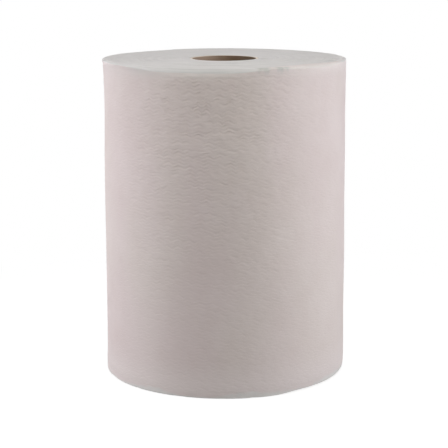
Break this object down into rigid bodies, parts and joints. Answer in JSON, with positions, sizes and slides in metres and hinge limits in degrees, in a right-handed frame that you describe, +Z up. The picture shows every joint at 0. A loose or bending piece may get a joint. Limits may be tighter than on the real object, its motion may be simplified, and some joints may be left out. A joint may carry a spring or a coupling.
{
  "type": "paper towel roll",
  "caption": "Roll of off-white embossed hand towel wound tight on a cardboard core, standing on one end, with a round bore right through.",
  "frame": {"origin": "centre of the lower end, on the surface the roll stands on", "axes": "+Z up the roll's axis, -Y towards the picture's camera, +X to its right"},
  "size_m": [0.196, 0.196, 0.254],
  "materials": {
    "towel_paper": "matte embossed tissue, warm off-white",
    "core_board": "uncoated brown board, spiral wound"
  },
  "bodies": {
    "root": {"paper_roll": "towel_paper", "core_tube": "core_board"}
  },
  "joints": []
}
